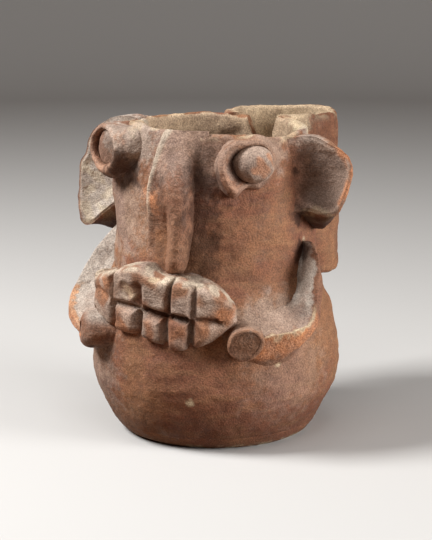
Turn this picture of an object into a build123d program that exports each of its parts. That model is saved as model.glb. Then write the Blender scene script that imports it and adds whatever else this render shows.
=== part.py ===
"""Hand-built clay effigy jar: a wide-necked jar with an applied face, arms and a rear tube.

Millimetres. The jar stands on z = 0 round the Z axis, +Z is up and the face looks along -Y.
Azimuths are in degrees round Z from the face, positive towards +X.
"""

import os
from math import cos, radians, sin, sqrt

from build123d import *

# Body of the jar
FOOT_RADIUS = 54.0
BELLY_RADIUS = 71.2
SHOULDER_RADIUS = 59.5
RIM_RADIUS = 51.5
BELLY_HEIGHT = 42.0
SHOULDER_HEIGHT = 97.0
RIM_HEIGHT = 178.0
BASE_THICKNESS = 8.0
WALL = 6.0

# Rear tube, which bites into the back of the neck and widens a little downwards
TUBE_AZIMUTH = 175.0
TUBE_RADIUS = 33.0
TUBE_FOOT_RADIUS = 35.0
TUBE_WALL = 5.5
TUBE_BITE = 11.5
TUBE_HANG = 14.0
TUBE_FLOOR = 7.0
TUBE_FLOOR_ROUND = 5.0

# Notch in the neck that opens it into the tube
NOTCH_AZIMUTH = 172.0
NOTCH_TOP_WIDTH = 24.0
NOTCH_FOOT_WIDTH = 7.0
NOTCH_DEPTH = 24.0

# Nose: a round bar with a web on its left, from just below the rim down to the mouth. Its stations give the
# share of the way up, the azimuths of the web's left foot, of the bar's left foot, ridge and right foot, and
# how proud the ridge stands
NOSE_TOP_DROP = 2.0
NOSE_FOOT_RISE = 4.0
NOSE_ROOT = 4.0
NOSE_WEB_PROUD = 1.5
NOSE_STATIONS = (
    (1.0, -6.0, -1.0, 7.0, 15.0, 4.0),
    (0.79, -11.5, 1.0, 9.0, 17.0, 9.0),
    (0.49, -16.0, 2.0, 10.0, 18.0, 11.0),
    (0.23, -14.0, 2.0, 9.5, 17.0, 11.0),
    (0.05, -11.0, 0.0, 7.5, 14.0, 6.0),
    (0.0, -7.0, -1.0, 6.0, 11.0, 1.5),
)

# Mouth: front outline as (x, height above the shoulder), then the cuts between the teeth
MOUTH_PROUD = 9.0
MOUTH_OUTLINE = (
    (-50.0, -12.0),
    (-42.0, 2.0),
    (-26.0, 7.5),
    (-10.0, 10.0),
    (3.0, 5.5),
    (24.0, 5.0),
    (39.0, -3.0),
    (45.0, -14.0),
    (37.0, -27.0),
    (18.0, -35.5),
    (-6.0, -33.0),
    (-30.0, -31.0),
    (-46.0, -27.0),
)
TOOTH_CUTS = (-22.0, -5.0, 9.0, 20.0)
TOOTH_CUT_WIDTH = 2.6
MOUTH_CUT_DEPTH = 5.0
LIP_SLIT_DROP = 14.0
LIP_SLIT_TILT = 8.0
LIP_SLIT_WIDTH = 3.0
LIP_SLIT_LEFT = -20.0
LIP_SLIT_RIGHT = 40.0

# Eyes: seat on the neck, azimuth that the ring's axis looks along, outer radius and height of the crest, lean
# of the crest towards its low side, bore, and radius and sideways shift of the foot that the outside runs to
RIGHT_EYE = {
    "azimuth": 46.5,
    "drop": 14.0,
    "turn": 38.0,
    "radius": 17.0,
    "crest": 5.5,
    "lean": 18.0,
    "bore": 12.5,
    "foot": 21.0,
    "shift": 0.0,
}
LEFT_EYE = {
    "azimuth": -53.0,
    "drop": 11.0,
    "turn": -24.0,
    "radius": 13.5,
    "crest": 15.0,
    "lean": 0.0,
    "bore": 10.0,
    "foot": 38.0,
    "shift": 23.0,
}
EYE_ROOT = 20.0
EYE_CREST_ROUND = 1.2
PELLET_CLEARANCE = 0.2
PELLET_TIP_RADIUS = 3.5
PELLET_TIP_ANGLE = 40.0
RIGHT_PELLET_RADIUS = 10.2
RIGHT_PELLET_TURN = 68.0
RIGHT_PELLET_PROUD = 18.0
LEFT_PELLET_PROUD = 9.0

# Ears: outline seen from the front as (reach beyond the rim, share of the way up from the arm to the rim),
# gap above the arm, where front and back lie at the root and at the edge (+ is rearwards), depth of the dish
RIGHT_EAR = {
    "outline": (
        (5.5, 0.965),
        (22.3, 0.895),
        (33.1, 0.83),
        (37.2, 0.665),
        (34.9, 0.40),
        (29.1, 0.19),
        (19.1, 0.105),
        (10.0, 0.0),
    ),
    "gap": 2.0,
    "front": (9.0, -9.0),
    "back": (24.0, -1.0),
    "dish": 6.0,
}
LEFT_EAR = {
    "outline": (
        (12.0, 0.985),
        (24.0, 0.90),
        (30.0, 0.725),
        (36.0, 0.48),
        (37.2, 0.28),
        (36.0, 0.09),
        (28.0, 0.02),
        (14.0, 0.0),
    ),
    "gap": 1.0,
    "front": (-11.0, -11.0),
    "back": (8.0, -3.0),
    "dish": 4.0,
}
EAR_DISH_RADIUS = 42.0

# Arms: azimuth, drop of the upper root below the shoulder, how proud of the jar and how far below the
# shoulder the free edge and the lower edge lie, and drop of the lower root
ARM_STATIONS = (
    (84.0, -22.0, 4.6, -21.5, 4.8, -13.0, -6.0),
    (78.0, -15.0, 10.4, -19.0, 12.2, -7.0, 5.0),
    (76.0, -4.0, 19.2, -7.0, 19.0, 6.0, 20.0),
    (70.0, 3.0, 23.1, 7.0, 21.0, 18.0, 32.0),
    (63.0, 10.0, 22.1, 17.5, 18.3, 29.0, 41.0),
    (54.0, 15.0, 16.6, 23.0, 13.4, 34.0, 43.0),
    (46.0, 19.0, 10.7, 27.0, 9.0, 37.0, 43.0),
)
ARM_ROOT_DEPTH = 9.5
ARM_TROUGH = 0.10
LEFT_ARM_DROP = 7.0

# Hand discs at the lower end of the arms
HAND_RADIUS = 10.3
HAND_AZIMUTH = 41.0
HAND_DROP = 30.0
HAND_PROUD = 12.0
HAND_TURN = 29.0
HAND_LENGTH = 40.0

# Spare length of the solids that only cut others
MARGIN = 20.0

LOWER_RUN = BELLY_RADIUS - FOOT_RADIUS
UPPER_RUN = BELLY_RADIUS - SHOULDER_RADIUS
UPPER_RISE = SHOULDER_HEIGHT - BELLY_HEIGHT
LOWER_ARC = (LOWER_RUN**2 + BELLY_HEIGHT**2) / (2 * LOWER_RUN)
UPPER_ARC = (UPPER_RUN**2 + UPPER_RISE**2) / (2 * UPPER_RUN)

TUBE_REACH = RIM_RADIUS + TUBE_RADIUS - TUBE_BITE
TUBE_BOTTOM = SHOULDER_HEIGHT - TUBE_HANG
TUBE_WALL_BOTTOM = TUBE_BOTTOM + TUBE_FLOOR


def outer_radius(z):
    """Outer radius of the jar at height z: two arcs that meet upright at the belly, then a straight neck."""
    if z < BELLY_HEIGHT:
        return BELLY_RADIUS - LOWER_ARC + sqrt(LOWER_ARC**2 - (BELLY_HEIGHT - z) ** 2)
    if z < SHOULDER_HEIGHT:
        return BELLY_RADIUS - UPPER_ARC + sqrt(UPPER_ARC**2 - (z - BELLY_HEIGHT) ** 2)
    share = (z - SHOULDER_HEIGHT) / (RIM_HEIGHT - SHOULDER_HEIGHT)
    return SHOULDER_RADIUS + share * (RIM_RADIUS - SHOULDER_RADIUS)


def wall_edge(z_from, z_to, inset):
    """One stretch of the jar's profile between two heights, moved inwards by inset."""
    z_middle = (z_from + z_to) / 2
    points = [(outer_radius(z) - inset, 0, z) for z in (z_from, z_middle, z_to)]
    if z_from >= SHOULDER_HEIGHT:
        return Line(points[0], points[2])
    return ThreePointArc(*points)


def profile(z_from, z_to, inset):
    """The jar's profile from z_from up to z_to, split where its stretches meet."""
    stops = [z_from] + [z for z in (BELLY_HEIGHT, SHOULDER_HEIGHT) if z_from < z < z_to] + [z_to]
    return [wall_edge(low, high, inset) for low, high in zip(stops, stops[1:])]


def turned(edges):
    """A solid turned round Z from a closed run of edges in the XZ plane."""
    return revolve(make_face(edges), axis=Axis.Z)


def turned_full(z_from, z_to, inset=0.0, spare=0.0):
    """The full body of the jar between two heights, with a straight stretch of spare length on top."""
    foot = outer_radius(z_from) - inset
    head = outer_radius(z_to) - inset
    top = z_to + spare
    edges = [Line((0, 0, z_from), (foot, 0, z_from))] + profile(z_from, z_to, inset)
    if spare:
        edges.append(Line((head, 0, z_to), (head, 0, top)))
    edges += [Line((head, 0, top), (0, 0, top)), Line((0, 0, top), (0, 0, z_from))]
    return turned(edges)


def turned_wall(z_from, z_to):
    """The wall of the jar between two heights, one wall thickness deep."""
    foot = outer_radius(z_from)
    head = outer_radius(z_to)
    lower = Line((foot - WALL, 0, z_from), (foot, 0, z_from))
    upper = Line((head - WALL, 0, z_to), (head, 0, z_to))
    return turned([lower, upper, *profile(z_from, z_to, 0.0), *profile(z_from, z_to, WALL)])


def on_jar(azimuth, radius, z):
    """The point at this azimuth, radius and height."""
    angle = radians(azimuth)
    return Vector(radius * sin(angle), -radius * cos(angle), z)


def upright_plane(azimuth):
    """The plane through Z at this azimuth: its x runs outwards and its y runs up."""
    outwards = on_jar(azimuth, 1.0, 0.0)
    return Plane(origin=(0, 0, 0), x_dir=outwards, z_dir=outwards.cross(Vector(0, 0, 1)))


def block(x_range, y_range, z_range):
    """A box given by its extents."""
    ranges = (x_range, y_range, z_range)
    middle = [(low + high) / 2 for low, high in ranges]
    size = [high - low for low, high in ranges]
    return Pos(*middle) * Box(*size)


def tube_radius(z):
    """Outer radius of the rear tube at height z."""
    share = (z - TUBE_BOTTOM) / (RIM_HEIGHT - TUBE_BOTTOM)
    return TUBE_FOOT_RADIUS + share * (TUBE_RADIUS - TUBE_FOOT_RADIUS)


def tube_bar(z_from, z_to, inset=0.0):
    """The full body of the rear tube between two heights, moved inwards by inset."""
    axis = on_jar(TUBE_AZIMUTH, TUBE_REACH, (z_from + z_to) / 2)
    return Pos(axis) * Cone(tube_radius(z_from) - inset, tube_radius(z_to) - inset, z_to - z_from)


JAR_FORM = turned_full(0.0, RIM_HEIGHT, spare=MARGIN)


def base_slab():
    return turned_full(0.0, BASE_THICKNESS)


def belly_wall():
    return turned_wall(BASE_THICKNESS, SHOULDER_HEIGHT)


def notch():
    """The cut from the neck to the tube: a tapering slot, drawn at the front and turned to the back."""
    foot = RIM_HEIGHT - NOTCH_DEPTH
    right = [(NOTCH_FOOT_WIDTH / 2, 0, foot), (NOTCH_TOP_WIDTH / 2, 0, RIM_HEIGHT)]
    left = [(-x, y, z) for x, y, z in reversed(right)]
    slot = extrude(make_face(Polyline(*right, *left, close=True)), TUBE_REACH, dir=(0, -1, 0))
    return Rot(0, 0, NOTCH_AZIMUTH) * slot


def neck_wall():
    return turned_wall(SHOULDER_HEIGHT, RIM_HEIGHT) - notch()


def tube_wall():
    bore = tube_bar(TUBE_WALL_BOTTOM, RIM_HEIGHT, inset=TUBE_WALL)
    return tube_bar(TUBE_WALL_BOTTOM, RIM_HEIGHT) - bore - JAR_FORM


def tube_floor():
    disc = tube_bar(TUBE_BOTTOM, TUBE_WALL_BOTTOM)
    disc = fillet(disc.edges().group_by(Axis.Z)[0], TUBE_FLOOR_ROUND)
    return disc - JAR_FORM


def nose_section(share, web, left, ridge, right, proud):
    """One level section through the nose: a low web, a bowed bar and a straight back inside the wall."""
    foot = SHOULDER_HEIGHT + NOSE_FOOT_RISE
    z = foot + share * (RIM_HEIGHT - NOSE_TOP_DROP - foot)
    wall = outer_radius(z)
    web_foot = on_jar(web, wall - NOSE_ROOT / 2, z)
    left_foot = on_jar(left, wall + NOSE_WEB_PROUD, z)
    right_foot = on_jar(right, wall - NOSE_ROOT / 2, z)
    bar = ThreePointArc(left_foot, on_jar(ridge, wall + proud, z), right_foot)
    back_right = on_jar(right, wall - NOSE_ROOT, z)
    back_left = on_jar(web, wall - NOSE_ROOT, z)
    rest = Polyline(right_foot, back_right, back_left, web_foot, left_foot)
    return make_face([bar, *rest.edges()])


def nose_bar():
    sections = [nose_section(*station) for station in NOSE_STATIONS]
    return loft(sections) - JAR_FORM - mouth_block()


def mouth_block():
    """The mouth before its cuts: an even layer on the jar, trimmed to its outline as seen from the front."""
    outline = [(x, 0.0, SHOULDER_HEIGHT + rise) for x, rise in MOUTH_OUTLINE]
    front = extrude(make_face(Spline(*outline, periodic=True)), BELLY_RADIUS + MARGIN, dir=(0, -1, 0))
    low = SHOULDER_HEIGHT + min(rise for x, rise in MOUTH_OUTLINE) - MARGIN / 2
    high = SHOULDER_HEIGHT + max(rise for x, rise in MOUTH_OUTLINE) + MARGIN / 2
    layer = turned_full(low, high, inset=-MOUTH_PROUD)
    return (layer & front) - JAR_FORM


def mouth_slab():
    """The mouth with upright cuts between the teeth and one tilted slit between the lips."""
    slit_z = SHOULDER_HEIGHT - LIP_SLIT_DROP
    cut_radius = outer_radius(slit_z) + MOUTH_PROUD - MOUTH_CUT_DEPTH
    slab = mouth_block()
    for azimuth in TOOTH_CUTS:
        place = Rot(0, 0, azimuth) * Pos(0, -cut_radius - MARGIN / 2, slit_z)
        slab -= place * Box(TOOTH_CUT_WIDTH, MARGIN, 2 * MARGIN + UPPER_RISE)
    washer = Cylinder(cut_radius + MARGIN, LIP_SLIT_WIDTH) - Cylinder(cut_radius, LIP_SLIT_WIDTH)
    span = block((LIP_SLIT_LEFT, LIP_SLIT_RIGHT), (-2 * BELLY_RADIUS, 0), (-LIP_SLIT_WIDTH, LIP_SLIT_WIDTH))
    return slab - Pos(0, 0, slit_z) * Rot(0, LIP_SLIT_TILT, 0) * (washer & span)


def eye_place(eye, turn):
    """Where an eye sits on the neck: local Z looks along the azimuth of its turn and local Y is up."""
    z = RIM_HEIGHT - eye["drop"]
    seat = on_jar(eye["azimuth"], outer_radius(z), z)
    return Plane(origin=seat, x_dir=on_jar(turn + 90, 1.0, 0.0), z_dir=on_jar(turn, 1.0, 0.0)).location


def eye_ring(eye, pellet):
    """A cup of clay round the pellet: a leaning crest that runs out to a wider foot, cut off at the rim."""
    foot = Pos(eye["shift"], 0, -EYE_ROOT) * Circle(eye["foot"])
    crest = Pos(0, 0, eye["crest"]) * Rot(0, eye["lean"], 0) * Circle(eye["radius"])
    cup = loft([*foot.faces(), *crest.faces()])
    cup -= Cylinder(eye["bore"], 4 * EYE_ROOT)
    cup = fillet(cup.faces().sort_by(Axis.Z)[-1].edges(), EYE_CREST_ROUND)
    aside = (-2 * BELLY_RADIUS, 2 * BELLY_RADIUS)
    below_rim = block(aside, aside, (0, RIM_HEIGHT))
    return (eye_place(eye, eye["turn"]) * cup & below_rim) - JAR_FORM - pellet


def eye_pellet(eye, turn, radius, proud):
    """A lump of clay inside the ring: a round stub with a cone on it, drawn to a rounded tip."""
    shoulder = proud - radius
    tip_middle = proud - PELLET_TIP_RADIUS
    angles = [radians(angle) for angle in (PELLET_TIP_ANGLE, (PELLET_TIP_ANGLE + 90) / 2, 90)]
    tip = [(PELLET_TIP_RADIUS * cos(a), 0, tip_middle + PELLET_TIP_RADIUS * sin(a)) for a in angles]
    foot = [(0, 0, -EYE_ROOT), (radius, 0, -EYE_ROOT), (radius, 0, shoulder)]
    sides = Polyline(tip[-1], *foot, tip[0])
    return eye_place(eye, turn) * turned([ThreePointArc(*tip), *sides.edges()]) - JAR_FORM


def ear(side, shape, lower):
    """A dished slab that leans forward from its root to a thin outer edge, trimmed to its outline."""
    root = RIM_RADIUS - WALL
    foot = SHOULDER_HEIGHT - ARM_STATIONS[0][1] - lower + shape["gap"]
    seen = [(side * (RIM_RADIUS + out), 0, foot + up * (RIM_HEIGHT - foot)) for out, up in shape["outline"]]
    high = (side * root, 0, seen[0][2])
    low = (side * root, 0, seen[-1][2])
    outline = make_face([Spline(*seen), *Polyline(seen[-1], low, high, seen[0]).edges()])
    bar = extrude(outline, 2 * MARGIN, dir=(0, -1, 0), both=True)
    reach = RIM_RADIUS + max(out for out, up in shape["outline"])
    front_root, front_edge = shape["front"]
    back_root, back_edge = shape["back"]
    plan = [(root, front_root), (reach, front_edge), (reach, back_edge), (root, back_root)]
    slab = make_face(Polyline(*[(side * x, y) for x, y in plan], close=True))
    wedge = extrude(slab, RIM_HEIGHT + MARGIN, dir=(0, 0, 1))
    run = Vector(side * (reach - root), front_edge - front_root, 0)
    facing = run.cross(Vector(0, 0, side)).normalized()
    middle = Vector(side * root, front_root, (high[2] + low[2]) / 2) + run / 2
    dish = Pos(middle + facing * (EAR_DISH_RADIUS - shape["dish"])) * Sphere(EAR_DISH_RADIUS)
    return (bar & wedge) - dish - JAR_FORM


def arm_section(side, lower, station):
    """One upright section through an arm: a sagging upper face, an outer edge and a sloping underside."""
    azimuth, root_high, edge_proud, edge_drop, low_proud, low_drop, root_low = station
    level = SHOULDER_HEIGHT - lower
    root = SHOULDER_RADIUS - ARM_ROOT_DEPTH
    root_top = (root, level - root_high)
    edge = (outer_radius(level - edge_drop) + edge_proud, level - edge_drop)
    low = (outer_radius(level - low_drop) + low_proud, level - low_drop)
    root_bottom = (root, level - root_low)
    sag = ((root_top[0] + edge[0]) / 2, (root_top[1] + edge[1]) / 2 - ARM_TROUGH * (edge[0] - root_top[0]))
    upper = ThreePointArc(root_top, sag, edge)
    face = make_face([upper, *Polyline(edge, low, root_bottom, root_top).edges()])
    return upright_plane(side * azimuth) * face


def arm(side, lower):
    sections = [arm_section(side, lower, station) for station in ARM_STATIONS]
    return loft(sections) - JAR_FORM - hand_form(side, lower)


def hand_form(side, lower):
    """The round stub of a hand, run back into the jar."""
    z = SHOULDER_HEIGHT - HAND_DROP - lower
    front = on_jar(side * HAND_AZIMUTH, outer_radius(z) + HAND_PROUD, z)
    axis = on_jar(side * HAND_TURN, 1.0, 0.0)
    middle = front - axis * (HAND_LENGTH / 2)
    return Plane(origin=middle, z_dir=axis).location * Cylinder(HAND_RADIUS, HAND_LENGTH)


def hand_disc(side, lower, mouth):
    return hand_form(side, lower) - JAR_FORM - mouth


def main():
    mouth = mouth_slab()
    left_ear = ear(-1, LEFT_EAR, LEFT_ARM_DROP)
    left_pellet_radius = LEFT_EYE["bore"] - PELLET_CLEARANCE
    left_pellet = eye_pellet(LEFT_EYE, LEFT_EYE["turn"], left_pellet_radius, LEFT_PELLET_PROUD)
    right_pellet = eye_pellet(RIGHT_EYE, RIGHT_PELLET_TURN, RIGHT_PELLET_RADIUS, RIGHT_PELLET_PROUD)
    nodes = {
        "base_slab": base_slab(),
        "belly_wall": belly_wall(),
        "neck_wall": neck_wall(),
        "tube_wall": tube_wall(),
        "tube_floor": tube_floor(),
        "nose_bar": nose_bar(),
        "mouth_slab": mouth,
        "left_eye_ring": eye_ring(LEFT_EYE, left_pellet) - left_ear,
        "right_eye_ring": eye_ring(RIGHT_EYE, right_pellet),
        "left_eye_pellet": left_pellet - left_ear,
        "right_eye_pellet": right_pellet,
        "left_ear": left_ear,
        "right_ear": ear(1, RIGHT_EAR, 0.0),
        "left_arm": arm(-1, LEFT_ARM_DROP),
        "right_arm": arm(1, 0.0),
        "left_hand_disc": hand_disc(-1, LEFT_ARM_DROP, mouth),
        "right_hand_disc": hand_disc(1, 0.0, mouth),
    }
    os.makedirs("parts", exist_ok=True)
    for name, solid in nodes.items():
        export_step(solid, f"parts/{name}.step")


main()
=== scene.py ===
"""Looks of the hand-built clay effigy jar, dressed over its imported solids.

Shapes are worked out in millimetres with numpy and put into metres when a mesh is made. The jar stands on
z = 0 round the Z axis and its face looks along -Y. Azimuths are degrees round Z from the face, positive
towards +X. Every clay piece is one closed grid, and marks on its surface are kept as point attributes.
"""

import math

import bmesh
import bpy
import numpy as np
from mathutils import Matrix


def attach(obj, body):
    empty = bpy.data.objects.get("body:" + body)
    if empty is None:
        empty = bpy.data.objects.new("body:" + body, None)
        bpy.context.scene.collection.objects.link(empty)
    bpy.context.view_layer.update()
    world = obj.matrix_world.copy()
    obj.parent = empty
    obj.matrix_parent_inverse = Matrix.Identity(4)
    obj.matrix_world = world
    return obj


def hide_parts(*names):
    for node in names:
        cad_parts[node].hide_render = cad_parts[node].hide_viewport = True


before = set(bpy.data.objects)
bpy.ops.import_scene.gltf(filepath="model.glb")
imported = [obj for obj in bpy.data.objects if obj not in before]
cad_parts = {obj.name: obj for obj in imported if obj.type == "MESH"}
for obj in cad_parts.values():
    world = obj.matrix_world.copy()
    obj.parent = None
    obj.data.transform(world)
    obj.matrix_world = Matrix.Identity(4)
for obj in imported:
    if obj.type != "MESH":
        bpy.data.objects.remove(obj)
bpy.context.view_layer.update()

MM = 0.001

# Body of the jar, as in the solids
FOOT_RADIUS = 54.0
BELLY_RADIUS = 71.2
SHOULDER_RADIUS = 59.5
RIM_RADIUS = 51.5
BELLY_HEIGHT = 42.0
SHOULDER_HEIGHT = 97.0
RIM_HEIGHT = 178.0
BASE_THICKNESS = 8.0
WALL = 6.0

# How deep applied pieces are bedded in the wall
SINK = 2.5

# Arcs of the belly's outline below and above its widest place
LOWER_RUN = BELLY_RADIUS - FOOT_RADIUS
UPPER_RUN = BELLY_RADIUS - SHOULDER_RADIUS
UPPER_RISE = SHOULDER_HEIGHT - BELLY_HEIGHT
LOWER_ARC = (LOWER_RUN**2 + BELLY_HEIGHT**2) / (2 * LOWER_RUN)
UPPER_ARC = (UPPER_RUN**2 + UPPER_RISE**2) / (2 * UPPER_RUN)

# Rear tube and the notch that opens the neck into it
TUBE_AZIMUTH = 175.0
TUBE_RADIUS = 33.0
TUBE_FOOT_RADIUS = 35.0
TUBE_WALL = 5.5
TUBE_OVERLAP = 11.5
TUBE_REACH = RIM_RADIUS + TUBE_RADIUS - TUBE_OVERLAP
TUBE_DROP = 15.0
TUBE_BOTTOM = SHOULDER_HEIGHT - TUBE_DROP
TUBE_FLOOR = 7.0
TUBE_TOP = RIM_HEIGHT + 1.6
NOTCH_AZIMUTH = 172.0
NOTCH_TOP_WIDTH = 24.0
NOTCH_FOOT_WIDTH = 7.0
NOTCH_DEPTH = 24.0

# Height of the neck's rim by azimuth: it was pinched up by hand and runs uneven
RIM_LINE = (
    (-180, 178.0), (-160, 179.0), (-130, 179.6), (-97, 179.7), (-60, 180.0), (-34, 181.6), (-21, 180.6),
    (-8, 180.2), (3, 180.3), (9, 179.7), (14, 178.8), (30, 178.4), (45, 178.0), (56, 176.8),
    (64, 175.8), (90, 175.6), (108, 176.4), (128, 178.6), (145, 179.8), (157, 179.2), (180, 178.0),
)

# Clay smeared out below the left eye, and its spread in degrees and in mm of height
CHEEK_AZIMUTH = -64.0
CHEEK_HEIGHT = 145.0
CHEEK_SWELL = 5.0
CHEEK_SPREAD = 14.0
CHEEK_RISE = 15.0

# Places where the wall was pressed in: azimuth, height, spread in degrees and in mm of height, depth
DENTS = ((119, 16, 40, 12, 3.2), (119, 82, 30, 9, 2.0))

# Unevenness of hand-built clay: size of the swells and how far they move the surface
SWELLS = ((58.0, 0.5), (21.0, 0.32), (7.0, 0.09), (3.2, 0.05))

# Height above the floor at which the swells are full
SWELL_FREE = 14.0


def blend(low, high, value):
    """Smooth step from 0 at low to 1 at high."""
    share = np.clip((value - low) / (high - low), 0.0, 1.0)
    return share * share * (3 - 2 * share)


def follow(knots, at):
    """Smooth curve through (place, value) knots: cubic pieces with slopes from the neighbouring knots."""
    place, value = np.array(knots, float).T
    slope = np.gradient(value, place)
    cell = np.clip(np.searchsorted(place, at, side="right") - 1, 0, len(place) - 2)
    run = place[cell + 1] - place[cell]
    t = np.clip((at - place[cell]) / run, 0.0, 1.0)
    start = (1 + 2 * t) * (1 - t) ** 2 * value[cell] + t * (1 - t) ** 2 * run * slope[cell]
    end = t * t * (3 - 2 * t) * value[cell + 1] + t * t * (t - 1) * run * slope[cell + 1]
    return start + end


def waves(points, size, seed, count=18):
    """Smooth random field: a sum of plane waves about one size long, each with its own heading and phase."""
    draw = np.random.default_rng(seed)
    heading = draw.normal(size=(count, 3))
    heading /= np.linalg.norm(heading, axis=1, keepdims=True)
    heading *= 2 * math.pi / (size * draw.uniform(0.7, 1.4, (count, 1)))
    phase = draw.uniform(0, 2 * math.pi, count)
    return np.sin(points @ heading.T + phase).sum(axis=-1) * math.sqrt(2 / count)


def hand_swells(points):
    """Moves points by smooth random fields of several sizes, one per axis.

    Touching pieces move alike. The fields fade out towards the floor, where the base stands flat.
    """
    moved = points.copy()
    free = blend(0.0, SWELL_FREE, points[..., 2])
    for size, far in SWELLS:
        for axis in range(3):
            moved[..., axis] += far * free * waves(points, size, seed=int(size * 10) + axis)
    return moved


def jar_radius(z):
    """Outer radius of the jar: two arcs that meet upright at the belly, then a straight tapering neck."""
    z = np.asarray(z, float)
    low = BELLY_RADIUS - LOWER_ARC + np.sqrt(np.maximum(LOWER_ARC**2 - (BELLY_HEIGHT - z) ** 2, 1.0))
    high = BELLY_RADIUS - UPPER_ARC + np.sqrt(np.maximum(UPPER_ARC**2 - (z - BELLY_HEIGHT) ** 2, 1.0))
    share = np.clip((z - SHOULDER_HEIGHT) / (RIM_HEIGHT - SHOULDER_HEIGHT), 0.0, 1.1)
    neck = SHOULDER_RADIUS + share * (RIM_RADIUS - SHOULDER_RADIUS)
    return np.where(z < BELLY_HEIGHT, low, np.where(z < SHOULDER_HEIGHT, high, neck))


def round_jar(azimuth, radius, z):
    """Points at these azimuths, radii and heights."""
    angle = np.radians(azimuth)
    return np.stack(np.broadcast_arrays(radius * np.sin(angle), -radius * np.cos(angle), z), axis=-1)


def pressed_in(azimuth, z):
    """How far the wall draws in: a bell round the middle of each dent."""
    dent = [
        depth * np.exp(-(((azimuth - middle) / spread) ** 2) - ((z - height) / rise) ** 2)
        for middle, height, spread, rise, depth in DENTS
    ]
    return sum(dent)


def azimuth_of(points):
    """Degrees round the jar from the face."""
    return np.degrees(np.arctan2(points[..., 0], -points[..., 1]))


def seated(points):
    """Brings what lies deeper in the jar up to SINK under its skin."""
    across = np.hypot(points[..., 0], points[..., 1])
    least = jar_radius(points[..., 2]) - SINK
    grow = np.maximum(least / np.maximum(across, 1.0), 1.0)
    out = points.copy()
    out[..., :2] *= grow[..., None]
    return out


def eased(loop, passes):
    """Rounds the corners of closed sections along their second index by a running mean of three."""
    for turn in range(passes):
        loop = (np.roll(loop, 1, axis=1) + 2 * loop + np.roll(loop, -1, axis=1)) / 4
    return loop


def along(corners, counts):
    """Straight closed runs between (n, k) corner arrays: counts[i] points from corner i to the next."""
    runs = []
    for start, end, count in zip(corners, corners[1:] + corners[:1], counts):
        share = np.linspace(0, 1, count, endpoint=False)[None, :, None]
        runs.append(start[:, None, :] * (1 - share) + end[:, None, :] * share)
    return np.concatenate(runs, axis=1)


def capped(grid):
    """Closes both ends of a run of sections with one middle point each."""
    first = np.broadcast_to(grid[:1].mean(axis=1, keepdims=True), grid[:1].shape)
    last = np.broadcast_to(grid[-1:].mean(axis=1, keepdims=True), grid[-1:].shape)
    return np.concatenate([first, grid, last], axis=0)


# Marks on the surface by kind, each a patch with a soft edge: azimuth, radius, height, reach in mm, strength
PATCHES = {
    "worn": (
        (-12, 60, 142, 9.5, 0.95), (33, 75, 84, 9, 0.55), (28, 75, 75, 8, 0.4), (-15, 75, 73, 9, 0.4),
        (1, 75, 72, 8, 0.3), (13, 75, 70, 9, 0.3), (-30, 75, 92, 9, 0.35), (-42, 83, 56, 6, 1.0),
    ),
    "pale": (
        (-30, 51, 181, 7, 0.3), (-12, 74, 92, 5, 0.4), (88, 59, 116, 2.4, 0.6), (126, 53, 178, 16, 0.75),
        (143, 55, 180, 11, 0.65), (17, 66, 132, 2, 0.6), (17, 67, 124, 3, 0.6), (1, 74, 101, 3, 0.6),
        (17, 71, 31, 2.5, 0.9), (58, 71, 52, 2, 0.6),
    ),
    # Dark patches that are painted shade: the hollow at azimuth -3 and the groove left of the nose bar at -8
    # to -4, the shaded walls of the left eye ring at -47.5 to -34, the shaded side of the left hand at -36,
    # the pocket of the right arm at 83 and the crevice under the right ear's lower lobe at 84, height 130.
    # The five at azimuth 21 are painted shadow of the nose bar on the neck, over a real dark smear at its
    # foot.
    "dark": (
        (8, 51, 181, 3, 0.4), (-3, 61, 150, 8, 0.5), (-8, 61, 128, 7, 0.4), (-5, 62, 115, 7, 0.5),
        (-4, 63, 105, 6, 0.5), (21, 54, 166, 10, 0.45), (21, 56, 152, 12, 0.7), (21, 58, 136, 13, 0.75),
        (21, 59, 120, 13, 0.75), (21, 62, 107, 12, 0.65), (-34, 59, 156, 12, 0.8), (-47.5, 64, 165, 11, 0.4),
        (-44, 61, 149, 10, 0.65), (-36, 73, 62, 9, 0.95), (-52, 77, 70, 4, 0.6), (83, 61, 111, 7, 0.85),
        (84, 57, 130, 6.5, 0.9), (84, 54, 155, 2.2, 0.8), (87, 80, 151, 2.0, 0.7), (85, 76, 150, 1.6, 0.6),
    ),
    "grey": (
        (0, 53, 170, 22, 0.3), (24, 54, 165, 20, 0.3), (-25, 52, 172, 17, 0.6), (-42, 60, 174, 14, 0.6),
        (-42, 56, 130, 30, 0.35), (62, 53, 170, 16, 0.3), (-85, 62, 178, 17, 0.8), (112, 56, 174, 16, 0.6),
        (84, 64, 174, 10, 0.6), (44, 69, 76, 12, 0.4), (54, 68, 80, 13, 0.4), (64, 67, 85, 10, 0.35),
        (-50, 70, 40, 30, 0.35), (66, 71, 44, 30, 0.15),
    ),
}
PATCH_SEEDS = {"worn": 51, "pale": 61, "dark": 71, "grey": 81}

# Edge of a patch: shares of its reach where it is full and gone, then strength and size of its waves
PATCH_FULL = 0.45
PATCH_GONE = 1.25
PATCH_WAVES = ((0.16, 9.0), (0.1, 3.0))


def patch_mask(points, patches, seed):
    """How strongly any of the patches covers each point."""
    ragged = sum(much * waves(points, size, seed + k) for k, (much, size) in enumerate(PATCH_WAVES))
    mask = np.zeros(points.shape[:-1])
    for azimuth, radius, z, reach, strength in patches:
        far = np.linalg.norm(points - round_jar(azimuth, radius, z), axis=-1) / reach
        mask = np.maximum(mask, strength * blend(PATCH_GONE, PATCH_FULL, far + ragged))
    return mask


def surface_marks(points, own):
    """The four marks of a clay piece: the patches by place, joined with those of its own."""
    marks = {name: patch_mask(points, PATCHES[name], seed) for name, seed in PATCH_SEEDS.items()}
    for name, value in own.items():
        marks[name] = np.maximum(marks[name], np.broadcast_to(value, points.shape[:-1]))
    return marks


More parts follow.
